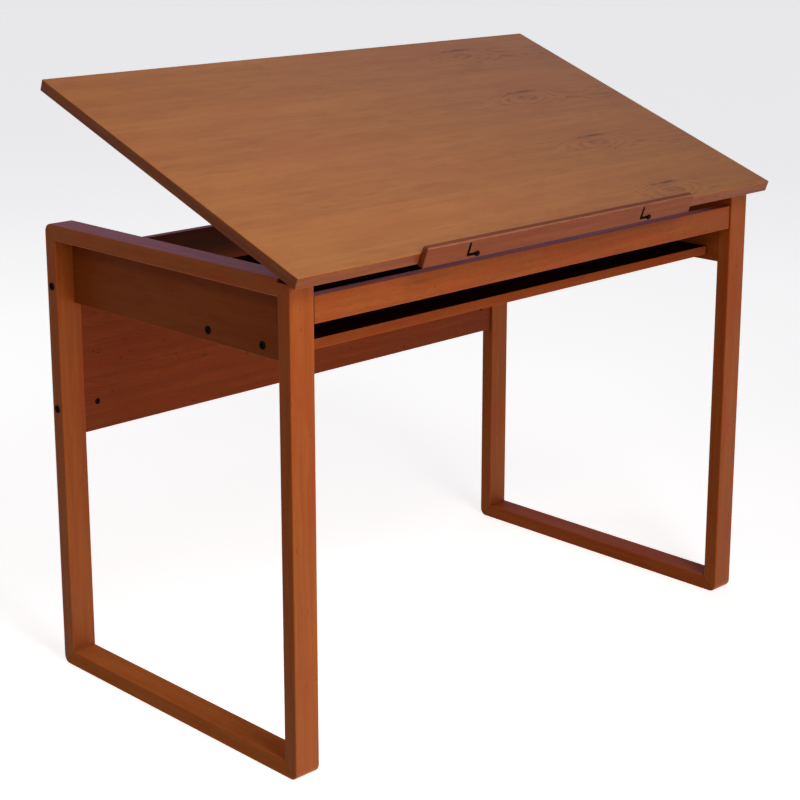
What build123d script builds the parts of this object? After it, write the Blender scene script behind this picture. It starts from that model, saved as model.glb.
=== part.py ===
from build123d import *
import math
import os

# A drafting table: two closed side frames, an apron, a slot shelf and a rear panel between them,
# and a top hinged at the front that a prop frame holds up on two notched racks.
# Millimetres. X runs left to right, Y from the front to the back, Z up.
# Pieces are drawn with Y = 0 on the front face of the legs and Z = 0 on the floor.
# What is on the top is drawn with the top flat, and turned up to its rest tilt by add().

# Side frames
frame_width = 1037.0
frame_depth = 571.0
frame_height = 728.3
bar_width = 44.0  # along X
bar_depth = 25.0  # seen from the side
corner_radius = 13.0
bar_edge = 2.0
side_panel_thick = 12.0
side_panel_bottom = 601.0

# Boards between the side frames
panel_thick = 15.0
rear_panel_front = 551.0
rear_panel_bottom = 385.0
rear_panel_top = 682.0
apron_thick = 18.0
apron_setback = 2.0
apron_bottom = 662.0
apron_top = 701.0
shelf_front = 48.0
shelf_back = 262.0
shelf_bottom = 610.0
slot_back_top = 699.0
board_edge = 0.8

# Tabletop
top_width = 1066.8
top_depth = 609.6
top_thick = 18.0
top_overhang = 27.3  # beyond the legs at the front, when flat
top_gap = 3.0  # between the side frames and the flat top
lipping = 12.0
top_corner_radius = 2.0
top_edge = 1.2
top_lower_edge = 0.6
rest_tilt = 20.4
bumper_radius = 7.0
bumper_thick = 2.7
bumper_back = 520.0
bumper_edge = 0.8

# Butt hinges
hinge_length = 40.0
hinge_leaf = 2.0
hinge_reach = 24.0
hinge_radius = 3.8
hinge_rise = 4.0  # pin above the rebate's floor, and below the top's underside
hinge_pin_radius = 2.0
hinge_knuckles = 5
hinge_knuckle_gap = 0.2
hinge_setout = 6.0  # from the legs' front faces forward to the pin
hinge_screw_back = 15.0
hinge_screw_apart = 26.0
hinge_frame_screw_length = 16.0
hinge_top_screw_length = 14.0
hinge_corner_radius = 3.0
rebate_depth = 5.0

# Pencil ledge, in the top's own directions: up is square to the top
ledge_length = 610.0
ledge_height = 32.0
ledge_thick = 10.0
ledge_gap = 0.2
ledge_hang = 2.0  # lower edge below the top's underside
ledge_edge = 1.5
ledge_end_radius = 4.0
ledge_screw_x = 197.0
ledge_screw_up = 5.5  # above the top's underside
ledge_shift = 19.0  # along the foot of each L slot
ledge_drop = 18.0  # up its leg
ledge_shank_radius = 2.0
ledge_head_radius = 4.2
ledge_head_thick = 2.4
ledge_head_edge = 1.0
ledge_cross_length = 4.6
ledge_screw_depth = 10.0  # in the lipping
ledge_slot_clearance = 0.25

# Prop frame and racks
prop_pivot_back = 310.0  # from the hinge pin, along the top
prop_pivot_drop = 14.0  # below the top's underside
prop_length = 225.0
prop_rest_angle = 53.8  # between the top and the arms at rest_tilt
prop_arm_x = 100.0
prop_arm_thick = 12.0
prop_arm_width = 18.0
crossbar_at = 105.0  # from the pivot, along the arms
crossbar_width = 40.0
crossbar_thick = 12.0
crossbar_edge = 2.0
crossbar_screw_length = 35.0
crossbar_screw_step = 10.0
foot_radius = 6.0
foot_length = 276.0
foot_edge = 1.0
rack_x = 120.0
rack_thick = 18.0
rack_height = 45.0
rack_pitch = 22.0
rack_notch_radius = 7.0
rack_notch_depth = 5.0
rack_notches_ahead = 6
rack_notches_behind = 2
rack_clearance = 0.4
rack_screw_ups = (8.0, 20.0)  # above the rack's lower face
pivot_block_thick = 16.0
pivot_block_length = 32.0
pivot_block_drop = 24.0
pivot_block_edge = 5.0
block_screw_length = 36.0
block_screw_step = 10.5
pivot_pin_radius = 3.0
pivot_pin_head = 3.0
pivot_pin_proud = 1.0

# Clearances between pieces that move on each other
bore_clearance = 0.05
side_clearance = 0.5
round_end_gap = 0.01  # a full round end needs a sliver of flat

# Fasteners
bolt_radius = 3.0
bolt_head_radius = 6.0
bolt_head_thick = 2.5
bolt_head_proud = 1.0
bolt_past_barrel = 3.0
key_radius = 2.3
key_depth = 1.6
barrel_radius = 5.0
barrel_length = 12.0
barrel_inset = 27.0  # from the end of the board to the middle of the barrel nut
rear_bolt_heights = (432.0, 630.0)
shelf_bolt_backs = (95.0, 215.0)
dowel_radius = 4.0
small_dowel_radius = 3.0
rear_dowel_height = 531.0
apron_dowel_up = 11.0
apron_cam_up = 27.0
slot_back_dowel_up = 32.0
slot_back_cam_up = 68.0
dowel_length = 22.0
side_dowel_heights = (652.0, 684.0)
side_dowel_backs = (170.0, 400.0)
mitre_dowel_length = 18.0
mitre_dowel_inset = 14.5
cam_bolt_radius = 2.5
cam_radius = 7.5
cam_thick = 12.5
cam_inset = 26.0
cam_past_bolt = 3.0
cam_bolt_in_side = 10.0
cam_slot = (9.0, 3.0, 1.6)
cam_turn = 30.0
screw_radius = 1.8
screw_head_radius = 3.5
screw_head_depth = 2.0
screw_slot = 0.8
board_screw_length = 40.0
shelf_screw_x = (-400.0, 0.0, 400.0)
far = 2000.0
outside = 9.0  # past the side frames' faces, for cutting

# Worked-out places
inner_x = frame_width / 2 - bar_width
outer_x = frame_width / 2
bar_x = frame_width / 2 - bar_width / 2
panel_outer_x = inner_x + side_panel_thick
panel_x = inner_x + side_panel_thick / 2
underside = frame_height + top_gap
hinge_y = -hinge_setout
hinge_z = frame_height - rebate_depth + hinge_rise
top_front = -top_overhang
top_back = top_front + top_depth
shelf_middle = shelf_bottom + panel_thick / 2
rear_panel_middle = rear_panel_front + panel_thick / 2
slot_back_rear = shelf_back + panel_thick
slot_back_middle = shelf_back + panel_thick / 2
apron_middle = apron_setback + apron_thick / 2
pivot_y = hinge_y + prop_pivot_back
pivot_z = underside - prop_pivot_drop
ledge_front = top_front - ledge_gap - ledge_thick
ledge_bottom = underside - ledge_hang
ledge_screw_z = underside + ledge_screw_up
tilt = math.radians(rest_tilt)


def tilted(y, z):
    """Where a point of the flat top goes when the top is turned up by rest_tilt."""
    back, up = y - hinge_y, z - hinge_z
    return (
        hinge_y + back * math.cos(tilt) - up * math.sin(tilt),
        hinge_z + back * math.sin(tilt) + up * math.cos(tilt),
    )


prop_slope = math.radians(prop_rest_angle - rest_tilt)
pivot_rest_y, pivot_rest_z = tilted(pivot_y, pivot_z)
foot_rest_y = pivot_rest_y + prop_length * math.cos(prop_slope)
foot_rest_z = pivot_rest_z - prop_length * math.sin(prop_slope)
rack_top = foot_rest_z - foot_radius - rack_clearance

# The part's own Y = 0 is half way between the ledge's foremost edge and the back of the legs.
foremost = tilted(ledge_front, ledge_bottom + ledge_height)[0]
middle_y = (foremost + frame_depth) / 2

still = Pos(0, 0, 0)
turn_top = Pos(0, hinge_y, hinge_z) * Rot(rest_tilt, 0, 0) * Pos(0, -hinge_y, -hinge_z)
turn_prop = Pos(0, pivot_y, pivot_z) * Rot(-prop_rest_angle, 0, 0) * Pos(0, -pivot_y, -pivot_z)
nodes = {}


# ---- Shapes used many times ----


def block(x, y, z):
    """A box between the two ends given along each axis."""
    middle = Pos(sum(x) / 2, sum(y) / 2, sum(z) / 2)
    return middle * Box(x[1] - x[0], y[1] - y[0], z[1] - z[0])


def rod(middle, radius, length, axis):
    """A round bar lying along the named axis."""
    turns = {"x": Rot(0, 90, 0), "y": Rot(90, 0, 0), "z": still}
    return Pos(*middle) * turns[axis] * Cylinder(radius, length)


def prism(outline):
    """A full-width solid from an outline of Y, Z points."""
    face = make_face(Polyline(*[(0, y, z) for y, z in outline], close=True))
    return Pos(-far / 2, 0, 0) * extrude(face, far, dir=(1, 0, 0))


def both(solids):
    """The given solids of the left side and their mirror images on the right."""
    left = list(solids)
    return left + [mirror(solid, about=Plane.YZ) for solid in left]


def cut(solid, *tools):
    """The solid without the space that the tools fill."""
    for tool in tools:
        solid = solid - tool
    return solid


def screw(head_at, toward, length, slotted=True):
    """A countersunk wood screw: the middle of its flat head, its direction and its length."""
    body = Pos(0, 0, length / 2) * Cylinder(screw_radius, length)
    body += Pos(0, 0, screw_head_depth / 2) * Cone(screw_head_radius, screw_radius, screw_head_depth)
    if slotted:
        arm = 1.1 * screw_head_radius
        recess = Box(arm, screw_slot, screw_slot) + Box(screw_slot, arm, screw_slot)
        body -= Pos(0, 0, screw_slot / 2) * recess
    return Plane(origin=head_at, z_dir=toward) * body


def screws(places, toward, length):
    """The screws at the places, and the holes that they fill."""
    made = [screw(place, toward, length) for place in places]
    holes = [screw(place, toward, length, slotted=False) for place in places]
    return made, holes


def add(name, solids, moved=still):
    """Keeps one node, set down in the part's own frame."""
    solids = solids if isinstance(solids, list) else [solids]
    placed = [Pos(0, -middle_y, 0) * moved * solid for solid in solids]
    nodes[name] = placed[0] if len(placed) == 1 else Compound(children=placed)


def add_pair(name, left_solid):
    """Keeps a left and a right node that mirror each other."""
    add(f"left_{name}", left_solid)
    add(f"right_{name}", mirror(left_solid, about=Plane.YZ))


# ---- Bolts, nuts, dowels and cams of the desk: the boards are cut to them ----


def bolt(head_at):
    """A flat-headed connector bolt that enters from the left, and the hole that it fills."""
    head_x, y, z = head_at
    tip_x = -inner_x + barrel_inset + barrel_radius + bolt_past_barrel
    hole = rod((head_x + bolt_head_thick / 2, y, z), bolt_head_radius, bolt_head_thick, "x")
    hole += rod(((head_x + tip_x) / 2, y, z), bolt_radius, tip_x - head_x, "x")
    recess = extrude(RegularPolygon(key_radius, 6), key_depth, both=True)
    key = Pos(*head_at) * Rot(0, 90, 0) * recess
    return hole - key, hole


def barrel(y, z, axis):
    """A barrel nut across a bolt at y, z, flush with the board's front or lower face."""
    offset = (panel_thick - barrel_length) / 2
    middle = (y - offset, z) if axis == "y" else (y, z - offset)
    body = rod((-inner_x + barrel_inset, *middle), barrel_radius, barrel_length, axis)
    return body - rod((-inner_x, y, z), bolt_radius, 4 * barrel_inset, "x")


rear_bolts, rear_bolt_holes = zip(
    *[bolt((-outer_x - bolt_head_proud, rear_panel_middle, z)) for z in rear_bolt_heights]
)
shelf_bolts, shelf_bolt_holes = zip(
    *[bolt((-panel_outer_x - bolt_head_proud, y, shelf_middle)) for y in shelf_bolt_backs]
)
rear_barrels = [barrel(rear_panel_middle, z, "y") for z in rear_bolt_heights]
shelf_barrels = [barrel(y, shelf_middle, "z") for y in shelf_bolt_backs]

mitre_dowels = []
for y in (mitre_dowel_inset, frame_depth - mitre_dowel_inset):
    for z in (mitre_dowel_inset, frame_height - mitre_dowel_inset):
        same_end = (y < frame_depth / 2) == (z < frame_height / 2)
        turn = Rot(45 if same_end else -45, 0, 0)
        dowel = Pos(-bar_x, y, z) * turn * Cylinder(dowel_radius, mitre_dowel_length)
        mitre_dowels.append(dowel)

panel_dowels = [
    rod((-panel_x, y, z), small_dowel_radius, dowel_length, "y")
    for y in (bar_depth, frame_depth - bar_depth)
    for z in side_dowel_heights
]
panel_dowels += [
    rod((-panel_x, y, frame_height - bar_depth), small_dowel_radius, dowel_length, "z")
    for y in side_dowel_backs
]

# Each end of the apron and of the slot back has one plain dowel low down and one cam bolt above.
low_and_high = {
    apron_middle: (apron_bottom + apron_dowel_up, apron_bottom + apron_cam_up),
    slot_back_middle: (shelf_bottom + slot_back_dowel_up, shelf_bottom + slot_back_cam_up),
}
end_dowels = [
    rod((-inner_x, y, low), dowel_radius, dowel_length, "x")
    for y, (low, high) in low_and_high.items()
]
end_dowels.append(
    rod((-inner_x, rear_panel_middle, rear_dowel_height), dowel_radius, dowel_length, "x")
)
cam_bolt_length = cam_inset + cam_bolt_in_side
cam_bolt_x = -inner_x + cam_inset - cam_bolt_length / 2
cam_bolts = [
    rod((cam_bolt_x, y, high), cam_bolt_radius, cam_bolt_length, "x")
    for y, (low, high) in low_and_high.items()
]


def cam(back_face, z):
    """A cam disc let into the back face of a board, and the hole that it fills."""
    middle_x = -inner_x + cam_inset + cam_past_bolt
    hole = rod((middle_x, back_face - cam_thick / 2, z), cam_radius, cam_thick, "y")
    slot = Pos(middle_x, back_face, z) * Rot(0, cam_turn, 0) * Box(*cam_slot)
    return cut(hole, slot, *cam_bolts), hole


cams, cam_holes = zip(
    cam(apron_setback + apron_thick, low_and_high[apron_middle][1]),
    cam(slot_back_rear, low_and_high[slot_back_middle][1]),
)
side_holes = [
    *rear_bolt_holes, *shelf_bolt_holes, *mitre_dowels, *panel_dowels, *end_dowels, *cam_bolts
]
add("rear_panel_bolts", both(rear_bolts))
add("rear_panel_barrel_nuts", both(rear_barrels))
add("shelf_bolts", both(shelf_bolts))
add("shelf_barrel_nuts", both(shelf_barrels))
add("mitre_dowels", both(mitre_dowels))
add("side_panel_dowels", both(panel_dowels))
add("cross_board_dowels", both(end_dowels))
add("cam_bolts", both(cam_bolts))
add("cam_discs", both(cams))


# ---- Hinges, drawn on the left side with the top flat ----


def hinge_half(knuckle_numbers, leaf_z, bore):
    """A leaf and the knuckles that it carries; leaf_z is the leaf's lower and upper face."""
    left_end = -bar_x - hinge_length / 2
    pitch = hinge_length / hinge_knuckles
    leaf_front = hinge_y + hinge_radius + 2 * hinge_knuckle_gap
    half = block((left_end, left_end + hinge_length), (leaf_front, hinge_reach), leaf_z)
    rear_edges = half.edges().filter_by(Axis.Z).group_by(Axis.Y)[-1]
    half = fillet(rear_edges, hinge_corner_radius)
    for number in knuckle_numbers:
        start = left_end + number * pitch + hinge_knuckle_gap / 2
        span = (start, start + pitch - hinge_knuckle_gap)
        middle = (sum(span) / 2, hinge_y, hinge_z)
        half += rod(middle, hinge_radius, span[1] - span[0], "x")
        half += block(span, (hinge_y, leaf_front + 1), leaf_z)
    return half - rod((-bar_x, hinge_y, hinge_z), bore, 2 * hinge_length, "x")


rebate_floor = frame_height - rebate_depth
frame_leaf = hinge_half(
    (0, 2, 4), (rebate_floor, rebate_floor + hinge_leaf), hinge_pin_radius
)
top_leaf = hinge_half(
    (1, 3), (underside - hinge_leaf, underside), hinge_pin_radius + bore_clearance
)
hinge_screw_x = (-bar_x - hinge_screw_apart / 2, -bar_x + hinge_screw_apart / 2)
frame_screws, frame_screw_holes = screws(
    [(x, hinge_screw_back, rebate_floor + hinge_leaf) for x in hinge_screw_x],
    (0, 0, -1),
    hinge_frame_screw_length,
)
top_screws, top_screw_holes = screws(
    [(x, hinge_screw_back, underside - hinge_leaf) for x in hinge_screw_x],
    (0, 0, 1),
    hinge_top_screw_length,
)
add("hinge_frame_leaves", both([cut(frame_leaf, *frame_screw_holes)]))
add("hinge_top_leaves", both([cut(top_leaf, *top_screw_holes)]), turn_top)
add("hinge_pins", both([rod((-bar_x, hinge_y, hinge_z), hinge_pin_radius, hinge_length, "x")]))
add("hinge_frame_screws", both(frame_screws))
add("hinge_top_screws", both(top_screws), turn_top)


# ---- Side frames: four mitred bars and a panel each ----

outer_loop = block((-outer_x, -inner_x), (0, frame_depth), (0, frame_height))
outer_loop = fillet(outer_loop.edges().filter_by(Axis.X), corner_radius)
opening_y = (bar_depth, frame_depth - bar_depth)
opening_z = (bar_depth, frame_height - bar_depth)
side_loop = outer_loop - block((-far, far), opening_y, opening_z)
side_loop = fillet(side_loop.faces().filter_by(Axis.X).edges(), bar_edge)
rebate = block((-far, far), (-outside, hinge_reach + 1), (rebate_floor, far))
side_loop = cut(side_loop, rebate, *side_holes, *frame_screw_holes)

beyond_y = (-outside, frame_depth + outside)
beyond_z = (-outside, frame_height + outside)
for name, edge, inner in (
    ("front_leg", beyond_y[0], opening_y[0]),
    ("rear_leg", beyond_y[1], opening_y[1]),
):
    region = [(edge, beyond_z[0]), (inner, opening_z[0]), (inner, opening_z[1]), (edge, beyond_z[1])]
    add_pair(name, side_loop & prism(region))
for name, edge, inner in (
    ("foot_rail", beyond_z[0], opening_z[0]),
    ("top_rail", beyond_z[1], opening_z[1]),
):
    region = [(beyond_y[0], edge), (opening_y[0], inner), (opening_y[1], inner), (beyond_y[1], edge)]
    add_pair(name, side_loop & prism(region))

side_panel = block(
    (-panel_outer_x, -inner_x), opening_y, (side_panel_bottom, opening_z[1])
)
side_panel = fillet(side_panel.edges().filter_by(Axis.Y).group_by(Axis.Z)[0], board_edge)
add_pair("side_panel", cut(side_panel, *side_holes))


# ---- Racks on which the prop foot rests, and the screws of the slot ----


def rack(x):
    """A rail with round notches, the foot dowel over one of them at rest."""
    span = (x - rack_thick / 2, x + rack_thick / 2)
    rail = block(span, (slot_back_rear, rear_panel_front), (rack_top - rack_height, rack_top))
    notch_z = rack_top - rack_notch_depth + rack_notch_radius
    for step in range(-rack_notches_ahead, rack_notches_behind + 1):
        notch_y = foot_rest_y + step * rack_pitch
        rail -= rod((x, notch_y, notch_z), rack_notch_radius, 2 * rack_thick, "x")
    return rail


rack_screw_z = [rack_top - rack_height + up for up in rack_screw_ups]
rack_front_screws, rack_front_holes = screws(
    [(-rack_x, shelf_back, z) for z in rack_screw_z], (0, 1, 0), board_screw_length
)
rack_rear_screws, rack_rear_holes = screws(
    [(-rack_x, rear_panel_front + panel_thick, z) for z in rack_screw_z],
    (0, -1, 0),
    board_screw_length,
)
add_pair("rack", cut(rack(-rack_x), *rack_front_holes, *rack_rear_holes))
add("rack_screws", both(rack_front_screws + rack_rear_screws))

shelf_screws, shelf_screw_holes = screws(
    [(x, slot_back_rear, shelf_middle) for x in shelf_screw_x], (0, -1, 0), board_screw_length
)
add("shelf_screws", shelf_screws)


# ---- Boards between the side frames ----


def cross_board(y, z, rounded):
    """A board from one side frame to the other, its long edges rounded a little."""
    board = block((-inner_x, inner_x), y, z)
    return fillet(board.edges().filter_by(Axis.X), rounded)


apron = cross_board(
    (apron_setback, apron_setback + apron_thick), (apron_bottom, apron_top), board_edge
)
slot_shelf = cross_board(
    (shelf_front, shelf_back), (shelf_bottom, shelf_bottom + panel_thick), board_edge
)
slot_back = cross_board((shelf_back, slot_back_rear), (shelf_bottom, slot_back_top), board_edge)
rear_panel = cross_board(
    (rear_panel_front, rear_panel_front + panel_thick),
    (rear_panel_bottom, rear_panel_top),
    board_edge,
)
end_holes = both([*end_dowels, *cam_bolts, *cam_holes])
shelf_holes = both([*shelf_bolt_holes, *shelf_barrels])
rear_holes = both([*rear_bolt_holes, *rear_barrels, *rack_rear_holes])
add("front_apron", cut(apron, *end_holes))
add("slot_shelf", cut(slot_shelf, *shelf_holes, *shelf_screw_holes))
add("slot_back", cut(slot_back, *end_holes, *shelf_screw_holes, *both(rack_front_holes)))
add("rear_panel", cut(rear_panel, *end_holes, *rear_holes))


# ---- Tabletop: a veneered core with a solid lipping on each edge ----

pivot_block_span = (
    -prop_arm_x - prop_arm_thick / 2 - side_clearance - pivot_block_thick,
    -prop_arm_x - prop_arm_thick / 2 - side_clearance,
)
block_screws, block_screw_holes = screws(
    [
        (sum(pivot_block_span) / 2, pivot_y + step, underside - pivot_block_drop)
        for step in (-block_screw_step, block_screw_step)
    ],
    (0, 0, 1),
    block_screw_length,
)


def ledge_screw(x):
    """A pan-headed screw on which the pencil ledge slides."""
    head_span = (ledge_front - ledge_gap - ledge_head_thick, ledge_front - ledge_gap)
    head = rod((x, sum(head_span) / 2, ledge_screw_z), ledge_head_radius, ledge_head_thick, "y")
    head = fillet(head.edges().group_by(Axis.Y)[0], ledge_head_edge)
    tip_y = top_front + ledge_screw_depth
    shank_middle = (x, (head_span[1] + tip_y) / 2, ledge_screw_z)
    shank = rod(shank_middle, ledge_shank_radius, tip_y - head_span[1], "y")
    recess = Box(ledge_cross_length, 2 * screw_slot, screw_slot)
    recess += Box(screw_slot, 2 * screw_slot, ledge_cross_length)
    return head + shank - Pos(x, head_span[0], ledge_screw_z) * recess


top_z = (underside, underside + top_thick)
slab = block((-top_width / 2, top_width / 2), (top_front, top_back), top_z)
slab = fillet(slab.edges().filter_by(Axis.Z), top_corner_radius)
slab = fillet(slab.faces().sort_by(Axis.Z)[-1].edges(), top_edge)
slab = chamfer(slab.faces().sort_by(Axis.Z)[0].edges(), top_lower_edge)
core_x = (-top_width / 2 + lipping, top_width / 2 - lipping)
core_y = (top_front + lipping, top_back - lipping)
top_fixings = both(top_screw_holes + block_screw_holes)
ledge_screws = both([ledge_screw(-ledge_screw_x)])
slab_holes = top_fixings + ledge_screws
slab = cut(slab, *slab_holes)
all_z = (underside - far, underside + far)
add("tabletop_panel", slab & block(core_x, core_y, all_z), turn_top)
add("front_lipping", slab & block((-far, far), (-far, core_y[0]), all_z), turn_top)
add("rear_lipping", slab & block((-far, far), (core_y[1], far), all_z), turn_top)
add("left_lipping", slab & block((-far, core_x[0]), core_y, all_z), turn_top)
add("right_lipping", slab & block((core_x[1], far), core_y, all_z), turn_top)
add("ledge_screws", ledge_screws, turn_top)

bumper = rod(
    (-bar_x, bumper_back, underside - bumper_thick / 2), bumper_radius, bumper_thick, "z"
)
bumper = fillet(bumper.edges().group_by(Axis.Z)[0], bumper_edge)
add("top_bumpers", both([bumper]), turn_top)


# ---- Prop frame, drawn folded up flat behind its pivots ----

pivot_block = block(
    pivot_block_span,
    (pivot_y - pivot_block_length / 2, pivot_y + pivot_block_length / 2),
    (underside - pivot_block_drop, underside),
)
lower_ends = pivot_block.edges().filter_by(Axis.X).group_by(Axis.Z)[0]
pivot_block = fillet(lower_ends, pivot_block_edge)
pin_tip = -prop_arm_x + prop_arm_thick / 2 + pivot_pin_proud
pin_middle = ((pivot_block_span[0] + pin_tip) / 2, pivot_y, pivot_z)
pivot_pin = rod(pin_middle, pivot_pin_radius, pin_tip - pivot_block_span[0], "x")
head_middle = (pivot_block_span[0] - pivot_pin_head / 2, pivot_y, pivot_z)
pivot_pin += rod(head_middle, 2 * pivot_pin_radius, pivot_pin_head, "x")
add("prop_pivot_blocks", both([cut(pivot_block, pivot_pin, *block_screw_holes)]), turn_top)
add("prop_pivot_pins", both([pivot_pin]), turn_top)
add("prop_block_screws", both(block_screws), turn_top)

foot_y = pivot_y + prop_length
crossbar_y = pivot_y + crossbar_at
arm_inner_x = prop_arm_x - prop_arm_thick / 2
arm_outer_x = prop_arm_x + prop_arm_thick / 2
foot_dowel = rod((0, foot_y, pivot_z), foot_radius, foot_length, "x")
foot_dowel = chamfer(foot_dowel.edges(), foot_edge)
crossbar = block(
    (-arm_inner_x, arm_inner_x),
    (crossbar_y - crossbar_width / 2, crossbar_y + crossbar_width / 2),
    (pivot_z - crossbar_thick / 2, pivot_z + crossbar_thick / 2),
)
crossbar = fillet(crossbar.edges().filter_by(Axis.X), crossbar_edge)
crossbar_screws, crossbar_screw_holes = screws(
    [
        (-arm_outer_x, crossbar_y + step, pivot_z)
        for step in (-crossbar_screw_step, crossbar_screw_step)
    ],
    (1, 0, 0),
    crossbar_screw_length,
)
arm = block(
    (-arm_outer_x, -arm_inner_x),
    (pivot_y - prop_arm_width / 2, foot_y + prop_arm_width / 2),
    (pivot_z - prop_arm_width / 2, pivot_z + prop_arm_width / 2),
)
arm = fillet(arm.edges().filter_by(Axis.X), prop_arm_width / 2 - round_end_gap)
arm -= rod((-prop_arm_x, pivot_y, pivot_z), pivot_pin_radius + bore_clearance, arm_outer_x, "x")
arm = cut(arm, foot_dowel, *crossbar_screw_holes)
turn_arm = turn_top * turn_prop
add("left_prop_arm", arm, turn_arm)
add("right_prop_arm", mirror(arm, about=Plane.YZ), turn_arm)
add("prop_crossbar", cut(crossbar, *both(crossbar_screw_holes)), turn_arm)
add("prop_foot_dowel", foot_dowel, turn_arm)
add("crossbar_screws", both(crossbar_screws), turn_arm)


# ---- Pencil ledge ----


def ledge_window(x):
    """The space that a ledge screw needs: along the foot of the slot, up it, and straight across."""
    radius = ledge_shank_radius + ledge_slot_clearance
    left, low = x - ledge_shift, ledge_screw_z
    corners = [(x, low), (left, low), (left, low + ledge_drop)]
    face = make_hull(
        [edge for at in corners for edge in (Pos(*at) * Circle(radius)).edges()]
    )
    window = extrude(face, ledge_thick, both=True)
    return Pos(0, ledge_front + ledge_thick / 2, 0) * Rot(90, 0, 0) * window


ledge = block(
    (-ledge_length / 2, ledge_length / 2),
    (ledge_front, ledge_front + ledge_thick),
    (ledge_bottom, ledge_bottom + ledge_height),
)
ledge = fillet(ledge.edges().filter_by(Axis.Y).group_by(Axis.Z)[-1], ledge_end_radius)
ledge = fillet(ledge.faces().sort_by(Axis.Y)[0].edges(), ledge_edge)
add(
    "pencil_ledge",
    cut(ledge, ledge_window(-ledge_screw_x), ledge_window(ledge_screw_x)),
    turn_top,
)

os.makedirs("parts", exist_ok=True)
for name, shape in nodes.items():
    export_step(shape, f"parts/{name}.step")
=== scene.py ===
"""The drafting table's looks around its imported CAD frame.

Materials, the slotted ledge, light, floor, backdrop and camera.
"""

import math

import bmesh
import bpy
from mathutils import Matrix, Vector
from mathutils.geometry import tessellate_polygon


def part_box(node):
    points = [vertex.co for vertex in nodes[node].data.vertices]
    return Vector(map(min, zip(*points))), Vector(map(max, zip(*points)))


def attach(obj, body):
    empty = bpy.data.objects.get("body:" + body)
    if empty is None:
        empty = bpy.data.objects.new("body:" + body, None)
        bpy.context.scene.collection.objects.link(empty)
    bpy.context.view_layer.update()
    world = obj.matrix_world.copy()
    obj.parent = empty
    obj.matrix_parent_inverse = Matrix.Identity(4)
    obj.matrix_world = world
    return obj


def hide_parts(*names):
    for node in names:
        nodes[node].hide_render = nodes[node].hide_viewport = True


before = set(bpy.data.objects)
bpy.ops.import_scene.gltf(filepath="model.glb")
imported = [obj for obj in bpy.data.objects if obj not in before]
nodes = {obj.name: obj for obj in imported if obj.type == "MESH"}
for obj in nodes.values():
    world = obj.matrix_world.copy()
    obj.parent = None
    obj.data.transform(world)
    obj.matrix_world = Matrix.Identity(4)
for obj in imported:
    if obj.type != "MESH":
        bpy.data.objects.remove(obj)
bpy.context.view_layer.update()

MM_PER_M = 1000.0

# Places and sizes of the design, in metres, in the row frame.
TILT = math.radians(20.4)
MIDDLE_Y = 0.261812
HINGE = Vector((0.0, -0.006 - MIDDLE_Y, 0.7273))
TOP_FACE = 0.7313 + 0.018
CAMERA_PLACE = Vector((-2.0776, -2.0564, 1.2709))
CAMERA_YAW = math.radians(44.52)
CAMERA_PITCH = math.radians(13.82)
CAMERA_LENS = 82.77
CAMERA_SHIFT = -0.11
ALONG_X, ALONG_Y, ALONG_Z = "XYZ", "YZX", "ZXY"
BLACK, WHITE = (0.0, 0.0, 0.0), (1.0, 1.0, 1.0)


def blend_of(low, high, share):
    """The colour that is a share of the way from one colour to another."""
    return tuple(a + (b - a) * share for a, b in zip(low, high))


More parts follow.
